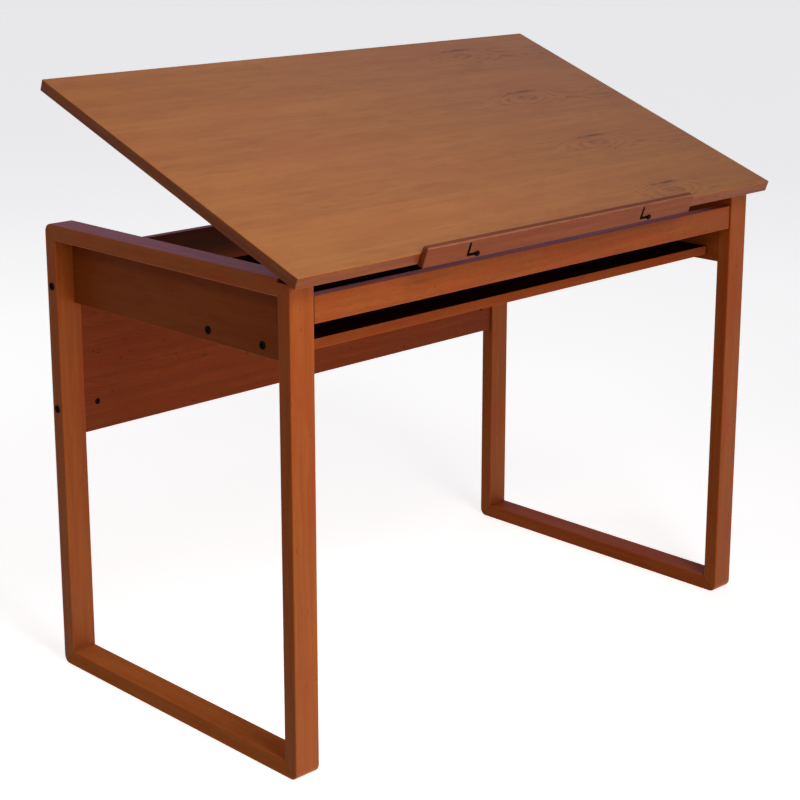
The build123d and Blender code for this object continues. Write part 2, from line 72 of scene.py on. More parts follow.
class Shader:
    """One node material, built a node at a time."""

    def __init__(self, name):
        self.material = bpy.data.materials.new(name)
        self.material.use_nodes = True
        self.tree = self.material.node_tree
        self.tree.nodes.clear()
        self.output = self.add("ShaderNodeOutputMaterial")
        self.surface = self.add("ShaderNodeBsdfPrincipled")
        self.tree.links.new(self.surface.outputs["BSDF"], self.output.inputs["Surface"])
        self.place = self.add("ShaderNodeTexCoord").outputs["Object"]

    def add(self, kind, **settings):
        node = self.tree.nodes.new(kind)
        for key, value in settings.items():
            setattr(node, key, value)
        return node

    def put(self, socket, value):
        if isinstance(value, bpy.types.NodeSocket):
            self.tree.links.new(value, socket)
        elif value is not None:
            if hasattr(value, "__len__") and len(value) == 3 and len(socket.default_value) == 4:
                value = (*value, 1.0)
            socket.default_value = value

    def math(self, operation, a, b=None, clamp=False):
        node = self.add("ShaderNodeMath", operation=operation, use_clamp=clamp)
        for socket, value in zip(node.inputs, (a, b)):
            self.put(socket, value)
        return node.outputs[0]

    def vector(self, operation, a, b=None):
        node = self.add("ShaderNodeVectorMath", operation=operation)
        self.put(node.inputs[0], a)
        self.put(node.inputs[1], b)
        return node.outputs["Vector"]

    def split(self, vector):
        node = self.add("ShaderNodeSeparateXYZ")
        self.put(node.inputs[0], vector)
        return list(node.outputs)

    def join(self, x, y, z):
        node = self.add("ShaderNodeCombineXYZ")
        for socket, value in zip(node.inputs, (x, y, z)):
            self.put(socket, value)
        return node.outputs[0]

    def turned(self, vector, centre, angle):
        node = self.add("ShaderNodeVectorRotate", rotation_type="X_AXIS")
        self.put(node.inputs["Vector"], vector)
        node.inputs["Center"].default_value = centre
        node.inputs["Angle"].default_value = angle
        return node.outputs[0]

    def noise(self, vector, scales, detail=3.0, rough=0.5, twist=0.0):
        """Noise whose features are `scales` millimetres long along each axis of a vector in millimetres."""
        node = self.add("ShaderNodeTexNoise")
        stretched = self.vector("MULTIPLY", vector, tuple(1.0 / s for s in scales))
        self.put(node.inputs["Vector"], stretched)
        node.inputs["Scale"].default_value = 1.0
        node.inputs["Detail"].default_value = detail
        node.inputs["Roughness"].default_value = rough
        node.inputs["Distortion"].default_value = twist
        return node.outputs["Fac"]

    def span(self, value, low, high, to_low=0.0, to_high=1.0):
        """Value smoothly brought from low..high to to_low..to_high."""
        node = self.add("ShaderNodeMapRange", interpolation_type="SMOOTHSTEP")
        for socket, number in zip(node.inputs, (value, low, high, to_low, to_high)):
            self.put(socket, number)
        return node.outputs[0]

    def mix(self, share, a, b):
        node = self.add("ShaderNodeMix", data_type="RGBA", blend_type="MIX")
        self.put(node.inputs[0], share)
        self.put(node.inputs[6], a)
        self.put(node.inputs[7], b)
        return node.outputs[2]

    def bump(self, height, strength, depth):
        node = self.add("ShaderNodeBump")
        node.inputs["Strength"].default_value = strength
        node.inputs["Distance"].default_value = depth
        self.put(node.inputs["Height"], height)
        self.put(self.surface.inputs["Normal"], node.outputs[0])

    def set(self, **values):
        for key, value in values.items():
            self.put(self.surface.inputs[key.replace("_", " ")], value)


def grain_place(shader, order, seed, tilted):
    """Board coordinates in millimetres: along the grain, across it, and through the board."""
    place = shader.place
    if tilted:
        place = shader.turned(place, HINGE, -TILT)
    axes = shader.split(shader.vector("MULTIPLY", place, (MM_PER_M, MM_PER_M, MM_PER_M)))
    along, across, through = (axes["XYZ".index(letter)] for letter in order)
    flat = shader.join(along, across, through)
    moved = shader.vector("ADD", flat, (seed * 331.7, seed * 57.3, seed * 83.9))
    return flat, moved


def edge_mask(shader, flat, node, order, tilted, reach):
    """One near the long arrises of a board, zero on its faces."""
    low, high = board_box(node, tilted)
    axes = shader.split(flat)
    nearest = []
    for k in (1, 2):
        letter = "XYZ".index(order[k])
        to_low = shader.math("SUBTRACT", axes[k], low[letter] * MM_PER_M)
        to_high = shader.math("SUBTRACT", high[letter] * MM_PER_M, axes[k])
        nearest.append(shader.math("MINIMUM", to_low, to_high))
    return shader.span(shader.math("MAXIMUM", *nearest), 0.3, reach, 1.0, 0.0)


def board_box(node, tilted):
    """The node's box, in the frame where its board lies flat."""
    if not tilted:
        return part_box(node)
    back = Matrix.Translation(HINGE) @ Matrix.Rotation(-TILT, 4, "X") @ Matrix.Translation(-HINGE)
    points = [back @ v.co for v in nodes[node].data.vertices]
    low = Vector([min(p[k] for p in points) for k in range(3)])
    high = Vector([max(p[k] for p in points) for k in range(3)])
    return low, high


def mitre_mask(shader, place):
    """One on the thin glue line where the bars of an end frame meet."""
    low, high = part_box("left_foot_rail")
    front, back, top = low.y * MM_PER_M, high.y * MM_PER_M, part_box("left_front_leg")[1].z * MM_PER_M
    axes = shader.split(shader.vector("MULTIPLY", place, (MM_PER_M, MM_PER_M, MM_PER_M)))
    to_front = shader.math("SUBTRACT", axes[1], front)
    to_back = shader.math("SUBTRACT", back, axes[1])
    to_top = shader.math("SUBTRACT", top, axes[2])
    inward = shader.math("MINIMUM", to_front, to_back)
    upward = shader.math("MINIMUM", axes[2], to_top)
    off = shader.math("ABSOLUTE", shader.math("SUBTRACT", inward, upward))
    return shader.span(off, 0.15, 0.75, 1.0, 0.0)


def wood_shader(
    name,
    order,
    seed,
    light,
    dark,
    red,
    tilted=False,
    node=None,
    mitred=False,
    faded=0.0,
    pith=(48.0, 22.0),
    ring=5.5,
    wander=5.0,
    figure=0.22,
    streak=0.42,
    pores=0.22,
    flecks=0.35,
    warmth=0.18,
    rough=0.42,
    coat=0.03,
    gloss=0.08,
    blotch=0.06,
    inside=None,
    joints=(),
):
    """Stained and lacquered wood, with its grain along the first axis of `order`."""
    s = Shader(name)
    flat, moved = grain_place(s, order, seed, tilted)
    broad = s.noise(moved, (260.0, 11.0, 11.0), 2.0, 0.5, 0.5)
    fine = s.noise(moved, (110.0, 1.7, 1.7), 3.0, 0.55)
    cloud = s.noise(moved, (95.0, 24.0, 24.0), 3.0, 0.55, 0.6)
    warm = s.noise(s.vector("ADD", moved, (411.0, 97.0, 53.0)), (190.0, 9.0, 9.0), 2.0, 0.5, 0.4)
    sway = s.math("SUBTRACT", s.noise(moved, (330.0, 70.0, 70.0), 2.0), 0.5)
    ripple = s.math("SUBTRACT", s.noise(moved, (70.0, 16.0, 16.0), 2.0), 0.5)
    bend = s.math("ADD", s.math("MULTIPLY", sway, wander * 4.0), s.math("MULTIPLY", ripple, wander * 0.8))
    centre = [0.5 * (a + b) * MM_PER_M for a, b in zip(*board_box(node, tilted))] if node else (0.0, 0.0, 0.0)
    axes = s.split(flat)
    out = [s.math("SUBTRACT", axes[k], centre["XYZ".index(order[k])] + pith[k - 1]) for k in (1, 2)]
    squares = [s.math("MULTIPLY", x, x) for x in out]
    radius = s.math("SQRT", s.math("ADD", *squares))
    turns = s.math("DIVIDE", s.math("ADD", radius, bend), ring)
    part = s.math("FRACT", turns)
    late = s.math("MULTIPLY", s.span(part, 0.25, 0.9), s.span(part, 0.92, 1.0, 1.0, 0.0))
    patchy = s.math("MULTIPLY", late, s.span(cloud, 0.35, 0.65, 0.35, 1.0))
    streaks = s.math("MULTIPLY", s.span(broad, 0.3, 0.7), streak)
    tone = s.math("ADD", streaks, s.math("MULTIPLY", patchy, figure))
    tone = s.math("ADD", tone, s.math("MULTIPLY", s.span(fine, 0.35, 0.75), 0.18))
    mottle = s.noise(moved, (13.0, 4.5, 4.5), 3.0, 0.6)
    tone = s.math("ADD", tone, s.span(mottle, 0.35, 0.65, -blotch, blotch))
    colour = s.mix(s.math("MULTIPLY", tone, 0.9, clamp=True), light, dark)
    colour = s.mix(s.span(cloud, 0.45, 0.66, 0.0, 0.6), colour, red)
    colour = s.mix(s.span(warm, 0.52, 0.7, 0.0, warmth), colour, blend_of(light, (0.50, 0.19, 0.03), 0.35))
    pore = s.span(s.noise(moved, (9.0, 0.42, 0.42), 1.0), 0.66, 0.74)
    colour = s.mix(s.math("MULTIPLY", pore, pores), colour, blend_of(dark, BLACK, 0.6))
    fleck = s.span(s.noise(moved, (16.0, 5.0, 5.0), 1.0, 0.3), 0.74, 0.80)
    colour = s.mix(s.math("MULTIPLY", fleck, flecks), colour, blend_of(dark, BLACK, 0.7))
    if node:
        # Paler, more orange long arrises: partly wear, partly a painted edge highlight.
        wear_and_highlight = edge_mask(s, flat, node, order, tilted, 2.2)
        colour = s.mix(s.math("MULTIPLY", wear_and_highlight, 0.4), colour, blend_of(light, (0.50, 0.09, 0.006), 0.6))
    if mitred:
        # Painted light: the bars turn lighter and paler towards the bottom, in place of light thrown up from
        # the floor.
        low_down = s.span(s.split(s.place)[2], 0.0, 0.5, faded, 0.0)
        colour = s.mix(low_down, colour, s.mix(tone, (0.50, 0.155, 0.045), (0.36, 0.100, 0.028)))
        glue = s.math("MULTIPLY", mitre_mask(s, s.place), 0.75)
        colour = s.mix(glue, colour, blend_of(dark, BLACK, 0.7))
    # Painted shade: a dark line at each listed end, where the part meets the legs and side panels.
    for end in joints:
        off = s.math("ABSOLUTE", s.math("SUBTRACT", axes[0], end))
        colour = s.mix(s.span(off, 1.3, 2.8, 0.92, 0.0), colour, INSIDE_DARK)
    # Near black where the mask says: painted shade on the rear panel in the well, and the near-black top of
    # the shelf and back of the slot.
    if inside:
        colour = s.mix(inside(s), colour, s.mix(broad, INSIDE_LIGHT, INSIDE_DARK))
    s.set(
        Base_Color=colour,
        Roughness=s.span(fine, 0.3, 0.7, rough - 0.05, rough + 0.06),
        Coat_Weight=coat,
        Coat_Roughness=0.28,
        Specular_IOR_Level=gloss,
    )
    s.bump(s.math("SUBTRACT", fine, s.math("MULTIPLY", pore, 0.8)), 0.10, 0.0002)
    return s


def wood(*args, **kwargs):
    return wood_shader(*args, **kwargs).material


def finish_node(name, material):
    """The one material on every slot of a CAD node."""
    mesh = nodes[name].data
    for k in range(max(1, len(mesh.materials))):
        if k < len(mesh.materials):
            mesh.materials[k] = material
        else:
            mesh.materials.append(material)


# Stain colours, linear.
FRAME_LIGHT, FRAME_DARK, FRAME_RED = (0.375, 0.093, 0.017), (0.25, 0.052, 0.009), (0.36, 0.058, 0.009)
PANEL_LIGHT, PANEL_DARK, PANEL_RED = (0.275, 0.064, 0.010), (0.190, 0.038, 0.006), (0.240, 0.043, 0.006)
REAR_LIGHT, REAR_DARK, REAR_RED = (0.26, 0.050, 0.010), (0.145, 0.026, 0.006), (0.25, 0.036, 0.007)
LIP_LIGHT, LIP_DARK, LIP_RED = (0.275, 0.072, 0.019), (0.155, 0.037, 0.010), (0.25, 0.047, 0.012)
LEDGE_LIGHT, LEDGE_DARK, LEDGE_RED = (0.245, 0.059, 0.019), (0.155, 0.034, 0.011), (0.205, 0.042, 0.017)
VENEER_LIGHT, VENEER_DARK, VENEER_RED = (0.565, 0.216, 0.054), (0.345, 0.110, 0.028), (0.49, 0.160, 0.040)
# Near-black colours of the slot's shelf top and back; the same colours also make painted shade on the rear
# panel in the well and in the dark lines at the apron's and shelf's ends.
INSIDE_LIGHT, INSIDE_DARK = (0.018, 0.0036, 0.0014), (0.007, 0.0015, 0.0007)
KNOT_DARK = (0.080, 0.026, 0.020)

# The veneer, in millimetres: a leaf's width, what is cut off the first one, and the lipping it covers.
# Each mark is (along, across, length, width, amount).
LEAF = 171.0
FIRST_LEAF_CUT = 40.0
LIPPING_WIDTH = 12.0
RING_HUMPS = (
    (302, 72, 66, 32, 3.3), (47, 70, 62, 22, 1.6), (-450, 62, 70, 24, 1.5), (470, 46, 60, 22, 1.3),
    (-200, 74, 90, 22, 0.9),
)
TOP_STAINS = ((-150, 262, 46, 10, 0.30), (-112, 256, 20, 7, 0.25), (0, 274, 26, 6, 0.25))


def veneer(name, edge=None):
    """Slip-matched veneer: the same leaf repeated across the board, with its knot, rings and flames.

    On a lipping, edge is the shader of its own wood, which shows below the veneer's thickness."""
    s = edge or Shader(name)
    flat, moved = grain_place(s, ALONG_X, 3.0, True)
    axes = s.split(flat)
    front = board_box("tabletop_panel", True)[0].y * MM_PER_M - LIPPING_WIDTH
    from_front = s.math("SUBTRACT", axes[1], front)
    count = s.math("DIVIDE", s.math("ADD", from_front, FIRST_LEAF_CUT), LEAF)
    number = s.math("FLOOR", count)
    t = s.math("MULTIPLY", s.math("FRACT", count), LEAF)
    shear = s.math("MULTIPLY", number, -2.0)
    x = s.math("ADD", axes[0], shear)
    leafed = s.join(x, t, s.math("MULTIPLY", number, 3.0))
    sway = s.math("SUBTRACT", s.noise(leafed, (260.0, 60.0, 40.0), 3.0, 0.55, 0.3), 0.5)
    small = s.math("SUBTRACT", s.noise(leafed, (60.0, 14.0, 20.0), 2.0), 0.5)
    ridge = s.math("DIVIDE", s.math("SUBTRACT", t, 68.0), 26.0)
    height = s.math("MULTIPLY", s.math("MULTIPLY", ridge, ridge), -1.0)

    def hump(x0, t0, wide, tall, amount):
        a = s.math("DIVIDE", s.math("SUBTRACT", x, x0), wide)
        b = s.math("DIVIDE", s.math("SUBTRACT", t, t0), tall)
        r = s.math("ADD", s.math("MULTIPLY", a, a), s.math("MULTIPLY", b, b))
        return s.math("MULTIPLY", s.math("EXPONENT", s.math("MULTIPLY", r, -1.0)), amount)

    def stain(x0, back, wide, tall, amount):
        """A soft dark mark on the board itself, a distance from its front edge."""
        a = s.math("DIVIDE", s.math("SUBTRACT", axes[0], x0), wide)
        b = s.math("DIVIDE", s.math("SUBTRACT", from_front, back), tall)
        r = s.math("ADD", s.math("MULTIPLY", a, a), s.math("MULTIPLY", b, b))
        return s.math("MULTIPLY", s.math("EXPONENT", s.math("MULTIPLY", r, -1.0)), amount)

    for spot in RING_HUMPS:
        height = s.math("ADD", height, hump(*spot))
    waves = s.math("ADD", s.math("MULTIPLY", sway, 3.6), s.math("MULTIPLY", small, 1.5))
    height = s.math("ADD", height, waves)
    part = s.math("FRACT", s.math("MULTIPLY", height, 1.05))
    line = s.math("MULTIPLY", s.span(part, 0.35, 0.93), s.span(part, 0.95, 1.0, 1.0, 0.0))
    near_knot = hump(302, 70, 95, 44, 1.0)
    flame = s.math("ADD", hump(470, 50, 90, 34, 0.55), hump(47, 70, 80, 30, 0.35))
    marks = s.math("ADD", s.math("MULTIPLY", near_knot, 0.60), s.math("MULTIPLY", flame, 0.50))
    show = s.math("ADD", 0.07, marks)
    uneven = s.noise(leafed, (34.0, 9.0, 20.0), 2.0, 0.6)
    show = s.math("MULTIPLY", show, s.span(uneven, 0.34, 0.66, 0.1, 1.3))
    broad = s.noise(leafed, (480.0, 16.0, 30.0), 2.0, 0.5, 0.4)
    fine = s.noise(moved, (120.0, 1.3, 1.3), 3.0, 0.55)
    cloud = s.noise(moved, (220.0, 70.0, 50.0), 3.0, 0.5)
    streaks = s.math("MULTIPLY", s.span(broad, 0.3, 0.7), 0.24)
    tone = s.math("ADD", streaks, s.math("MULTIPLY", s.span(fine, 0.35, 0.75), 0.11))
    tone = s.math("ADD", tone, s.math("MULTIPLY", line, show))
    smudge = s.noise(leafed, (85.0, 26.0, 40.0), 3.0, 0.6, 0.8)
    tone = s.math("ADD", tone, s.span(smudge, 0.4, 0.7, -0.04, 0.19))
    for spot in TOP_STAINS:
        tone = s.math("ADD", tone, stain(*spot))
    tone = s.math("ADD", tone, s.span(t, 30.0, 165.0, 0.16, 0.0))
    colour = s.mix(s.math("MULTIPLY", tone, 1.0, clamp=True), VENEER_LIGHT, VENEER_DARK)
    colour = s.mix(s.span(cloud, 0.42, 0.7, 0.0, 0.5), colour, VENEER_RED)
    joint = s.math("MINIMUM", t, s.math("SUBTRACT", LEAF, t))
    colour = s.mix(s.span(joint, 0.2, 0.8, 0.35, 0.0), colour, VENEER_DARK)
    ragged = s.math("ADD", 1.0, s.math("MULTIPLY", small, 1.6))
    dash = s.math("ADD", hump(316, 95, 19, 1.7, 1.2), hump(280, 94.5, 6, 1.6, 0.9))
    dash = s.math("ADD", dash, hump(306, 93, 38, 4.5, 0.28))
    dash = s.math("MULTIPLY", dash, ragged, clamp=True)
    colour = s.mix(s.math("MULTIPLY", dash, 0.8), colour, KNOT_DARK)
    core = s.math("MULTIPLY", hump(298, 71, 26, 11, 1.0), s.span(small, -0.1, 0.2))
    colour = s.mix(s.math("MULTIPLY", core, 0.4), colour, (0.17, 0.055, 0.024))
    pore = s.span(s.noise(moved, (7.0, 0.4, 0.4), 1.0), 0.68, 0.75)
    colour = s.mix(s.math("MULTIPLY", pore, 0.3), colour, (0.10, 0.030, 0.012))
    if edge:
        own = s.surface.inputs["Base Color"].links[0].from_socket
        top = s.span(s.split(flat)[2], TOP_FACE * MM_PER_M - 1.1, TOP_FACE * MM_PER_M - 0.7)
        s.set(Base_Color=s.mix(top, own, colour))
        return s
    s.set(
        Base_Color=colour,
        Roughness=s.span(fine, 0.3, 0.7, 0.36, 0.46),
        Coat_Weight=0.03,
        Coat_Roughness=0.28,
        Specular_IOR_Level=0.14,
    )
    s.bump(s.math("SUBTRACT", fine, s.math("MULTIPLY", pore, 0.8)), 0.08, 0.0002)
    return s


def metal(name, colour, rough, metallic, brushed, gloss=0.5, lift=0.08):
    """A coated or plated steel, mottled and lightly rubbed."""
    s = Shader(name)
    place = s.vector("MULTIPLY", s.place, (MM_PER_M, MM_PER_M, MM_PER_M))
    mottle = s.noise(place, (3.0, 3.0, 3.0), 3.0)
    lines = s.noise(place, (brushed, 0.25, 0.25), 2.0)
    shade = s.math("ADD", s.math("MULTIPLY", mottle, 0.6), s.math("MULTIPLY", lines, 0.4))
    low, high = blend_of(colour, BLACK, 0.35), blend_of(colour, WHITE, lift)
    s.set(
        Base_Color=s.mix(s.span(shade, 0.3, 0.7), low, high),
        Metallic=metallic,
        Specular_IOR_Level=gloss,
        Roughness=s.span(shade, 0.3, 0.7, rough - 0.08, rough + 0.1),
    )
    s.bump(shade, 0.12, 0.0001)
    return s.material


def rubber(name):
    s = Shader(name)
    place = s.vector("MULTIPLY", s.place, (MM_PER_M, MM_PER_M, MM_PER_M))
    grit = s.noise(place, (0.6, 0.6, 0.6), 3.0)
    colour = s.mix(grit, (0.010, 0.010, 0.011), (0.035, 0.034, 0.034))
    s.set(Base_Color=colour, Roughness=s.span(grit, 0.3, 0.7, 0.6, 0.8))
    s.bump(grit, 0.3, 0.0002)
    return s.material


def lipping_wood(node, order, seed):
    """A lipping's own wood on its outer face, and the top's veneer over it."""
    own = wood_shader(
        node, order, seed, LIP_LIGHT, LIP_DARK, LIP_RED, node=node, tilted=True,
        streak=0.6, rough=0.41, gloss=0.14
    )
    return veneer(node, own).material


frame_wood = dict(light=FRAME_LIGHT, dark=FRAME_DARK, red=FRAME_RED)
# Of the left foot rail, then of the right one, which is darker in the photo.
foot_wood = (
    dict(
        light=(0.52, 0.144, 0.033), dark=(0.38, 0.094, 0.020), red=(0.48, 0.102, 0.018),
        coat=0.0, gloss=0.0,
    ),
    dict(
        light=(0.38, 0.086, 0.022), dark=(0.26, 0.055, 0.014), red=(0.35, 0.058, 0.012),
        coat=0.0, gloss=0.02,
    ),
)
panel_wood = dict(light=PANEL_LIGHT, dark=PANEL_DARK, red=PANEL_RED)
shelf_wood = dict(
    light=(0.300, 0.071, 0.021), dark=(0.200, 0.041, 0.011), red=(0.280, 0.048, 0.012), warmth=0.03
)
BEECH_LIGHT, BEECH_DARK, BEECH_RED = (0.52, 0.30, 0.15), (0.36, 0.19, 0.085), (0.45, 0.24, 0.12)
beech_wood = dict(light=BEECH_LIGHT, dark=BEECH_DARK, red=BEECH_RED)

for k, side in enumerate(("left", "right")):
    for n, (part, order) in enumerate(
        (("front_leg", ALONG_Z), ("rear_leg", ALONG_Z), ("top_rail", ALONG_Y), ("foot_rail", ALONG_Y))
    ):
        node = f"{side}_{part}"
        pith = (46.0 - 23.0 * n, 30.0 + 9.0 * k)
        stain = foot_wood[k] if part == "foot_rail" else frame_wood
        # How much painted floor light each end frame gets near its bottom.
        faded = 0.42 - 0.34 * k
        seed = 1.0 + 2.3 * n + 9.1 * k
        finish_node(
            node, wood(node, order, seed, node=node, mitred=True, pith=pith, faded=faded, **stain)
        )
    node = f"{side}_side_panel"
    finish_node(
        node,
        wood(
            node, ALONG_Y, 21.0 + k, node=node, pith=(70.0, 60.0),
            figure=0.15, streak=0.22, warmth=0.05, flecks=0.2, gloss=0.04, **panel_wood
        ),
    )
    node = f"{side}_lipping"
    finish_node(node, lipping_wood(node, ALONG_Y, 31.0 + k))
    for part in ("prop_arm", "rack"):
        node = f"{side}_{part}"
        finish_node(node, wood(node, ALONG_Y, 41.0 + k, node=node, **beech_wood))

apron_wood = dict(
    light=blend_of(FRAME_LIGHT, (0.10, 0.0, 0.0), 0.13), dark=blend_of(FRAME_DARK, BLACK, 0.13), red=FRAME_RED
)
apron_ends = [corner.x * MM_PER_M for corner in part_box("front_apron")]
finish_node(
    "front_apron",
    wood(
        "front_apron", ALONG_X, 51.0, node="front_apron", pith=(30.0, 26.0), ring=7.0, blotch=0.16,
        joints=apron_ends, **apron_wood
    ),
)


def shelf_inside(s):
    """One on the shelf's upper face, which is made near black, and zero on its front edge."""
    low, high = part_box("slot_shelf")
    axes = s.split(s.place)
    upper = s.span(axes[2], high.z - 0.0012, high.z - 0.0006)
    return s.math("MULTIPLY", upper, s.span(axes[1], low.y + 0.0010, low.y + 0.0018))


def rear_panel_well_shade(s):
    """One on the part of the rear panel's inner face in the well, growing towards its top: painted shade
    under the tabletop.
    """
    low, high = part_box("rear_panel")
    axes = s.split(s.place)
    upper = s.span(axes[2], high.z - 0.082, high.z - 0.032, 0.0, 0.85)
    inner = s.span(axes[1], low.y + 0.0004, low.y + 0.0012, 1.0, 0.0)
    return s.math("MULTIPLY", upper, inner)


def all_inside(s):
    """One everywhere."""
    return 1.0


matt = dict(coat=0.0, gloss=0.0, rough=0.8)
finish_node(
    "slot_shelf",
    wood(
        "slot_shelf", ALONG_X, 52.0, node="slot_shelf", joints=apron_ends, inside=shelf_inside,
        **matt, **shelf_wood
    ),
)
finish_node(
    "slot_back",
    wood("slot_back", ALONG_X, 53.0, node="slot_back", inside=all_inside, **matt, **panel_wood),
)
finish_node(
    "rear_panel",
    wood(
        "rear_panel", ALONG_X, 54.0, REAR_LIGHT, REAR_DARK, REAR_RED, node="rear_panel",
        pith=(-70.0, 40.0), ring=3.4, wander=12.0, figure=0.44, streak=0.34, flecks=0.75, warmth=0.06,
        gloss=0.04, inside=rear_panel_well_shade,
    ),
)
for node in ("front_lipping", "rear_lipping"):
    finish_node(node, lipping_wood(node, ALONG_X, 55.0 + len(node)))
finish_node("tabletop_panel", veneer("tabletop_panel").material)
for node in (
    "prop_crossbar", "prop_foot_dowel", "prop_pivot_blocks",
    "cross_board_dowels", "mitre_dowels", "side_panel_dowels",
):
    finish_node(node, wood(node, ALONG_X, 61.0 + len(node), node=None, **beech_wood))

black_steel = metal("black_steel", (0.002, 0.002, 0.002), 0.60, 0.0, 2.0, gloss=0.03, lift=0.006)
plated_steel = metal("plated_steel", (0.62, 0.60, 0.55), 0.32, 1.0, 12.0)
for node in (
    "hinge_frame_leaves", "hinge_frame_screws", "hinge_pins", "hinge_top_leaves", "hinge_top_screws",
    "ledge_screws", "prop_pivot_pins", "rear_panel_barrel_nuts", "rear_panel_bolts", "shelf_bolts",
):
    finish_node(node, black_steel)
for node in (
    "cam_bolts", "cam_discs", "crossbar_screws", "prop_block_screws",
    "rack_screws", "shelf_barrel_nuts", "shelf_screws",
):
    finish_node(node, plated_steel)
finish_node("top_bumpers", rubber("black_rubber"))


def arc(centre, radius, start, stop, steps):
    """Points on an arc, from one angle to another, both included."""
    return [
        Vector((centre[0] + radius * math.cos(a), centre[1] + radius * math.sin(a)))
        for a in (start + (stop - start) * k / steps for k in range(steps + 1))
    ]


def ledge_outline(inset):
    """The ledge's front view, in board millimetres, moved inwards by inset.

    Its top corners are well rounded, and its bottom corners hardly."""
    low, high = LEDGE_LOW, LEDGE_HIGH
    x0, x1, z0, z1 = low.x + inset, high.x - inset, low.z + inset, high.z - inset
    bottom, top = max(1.6 - inset, 0.05), 4.0 - inset
    half = math.pi / 2
    return (
        arc((x0 + bottom, z0 + bottom), bottom, -2 * half, -half, 6)
        + arc((x1 - bottom, z0 + bottom), bottom, -half, 0.0, 6)
        + arc((x1 - top, z1 - top), top, 0.0, half, 8)
        + arc((x0 + top, z1 - top), top, half, 2 * half, 8)
    )


def slot_outline(x, z, grow):
    """The L slot round its screw at (x, z), drawn clockwise so that it is a hole, widened by grow."""
    r = SLOT_HALF + grow
    half = math.pi / 2
    left, up = x - SLOT_SHIFT, z + SLOT_DROP
    inner = max(0.6 - grow, 0.05)
    bend = (left + r + inner, z + r + inner)
    return (
        arc((x, z), r, half, -half, 10)
        + arc((left, z), r, -half, -2 * half, 6)
        + arc((left, up), r, 2 * half, 0.0, 10)
        + arc(bend, inner, 2 * half, 3 * half, 4)
    )


LEDGE_LOW, LEDGE_HIGH = (corner * MM_PER_M for corner in board_box("pencil_ledge", True))
SLOT_HALF, SLOT_SHIFT, SLOT_DROP = 2.25, 19.0, 18.0
SCREW_SPREAD, SCREW_RISE = 197.0, 7.5
ROUND_STEPS = 5


def ledge_wood():
    """The ledge's stained wood, pale along its top arris as wear and as a painted highlight, and scratched
    near its middle.
    """
    s = wood_shader(
        "ledge_wood", ALONG_X, 71.0, LEDGE_LIGHT, LEDGE_DARK, LEDGE_RED, node="pencil_ledge", tilted=True
    )
    flat, moved = grain_place(s, ALONG_X, 72.0, True)
    axes = s.split(flat)
    rub = s.noise(moved, (24.0, 3.0, 3.0), 3.0, 0.6)
    reach = s.span(rub, 0.3, 0.7, 0.9, 2.8)
    below_top = s.math("SUBTRACT", LEDGE_HIGH.z, axes[2])
    behind_front = s.math("SUBTRACT", axes[1], LEDGE_LOW.y)
    from_arris = s.math("MAXIMUM", below_top, behind_front)
    # Pale top arris: partly wear, partly a painted highlight where the rounded arris catches light.
    wear_and_highlight = s.math("SUBTRACT", 1.0, s.math("DIVIDE", from_arris, reach), clamp=True)
    wear_and_highlight = s.math("MULTIPLY", s.span(wear_and_highlight, 0.0, 0.45), 0.8)
    middle = s.math("DIVIDE", axes[0], 95.0)
    scratched = s.math("EXPONENT", s.math("MULTIPLY", s.math("MULTIPLY", middle, middle), -1.0))
    slanted = s.join(s.math("ADD", axes[0], s.math("MULTIPLY", axes[2], 0.8)), axes[1], axes[2])
    scratch = s.span(s.noise(slanted, (1.4, 60.0, 9.0), 2.0), 0.69, 0.74)
    scratch = s.math("MULTIPLY", scratch, s.math("MULTIPLY", scratched, 0.55))
    colour = s.surface.inputs["Base Color"].links[0].from_socket
    colour = s.mix(s.math("MAXIMUM", wear_and_highlight, scratch), colour, (0.36, 0.170, 0.080))
    s.set(Base_Color=colour)
    return s.material


def slot_painted_shade():
    """The routed walls of the ledge's slots, painted near black as shade inside the narrow slots."""
    s = Shader("slot_painted_shade")
    place = s.vector("MULTIPLY", s.place, (MM_PER_M, MM_PER_M, MM_PER_M))
    shade_mottle = s.noise(place, (2.0, 2.0, 2.0), 3.0)
    colour = s.mix(shade_mottle, (0.004, 0.002, 0.001), (0.018, 0.007, 0.004))
    s.set(Base_Color=colour, Roughness=s.span(shade_mottle, 0.3, 0.7, 0.6, 0.8))
    return s.material


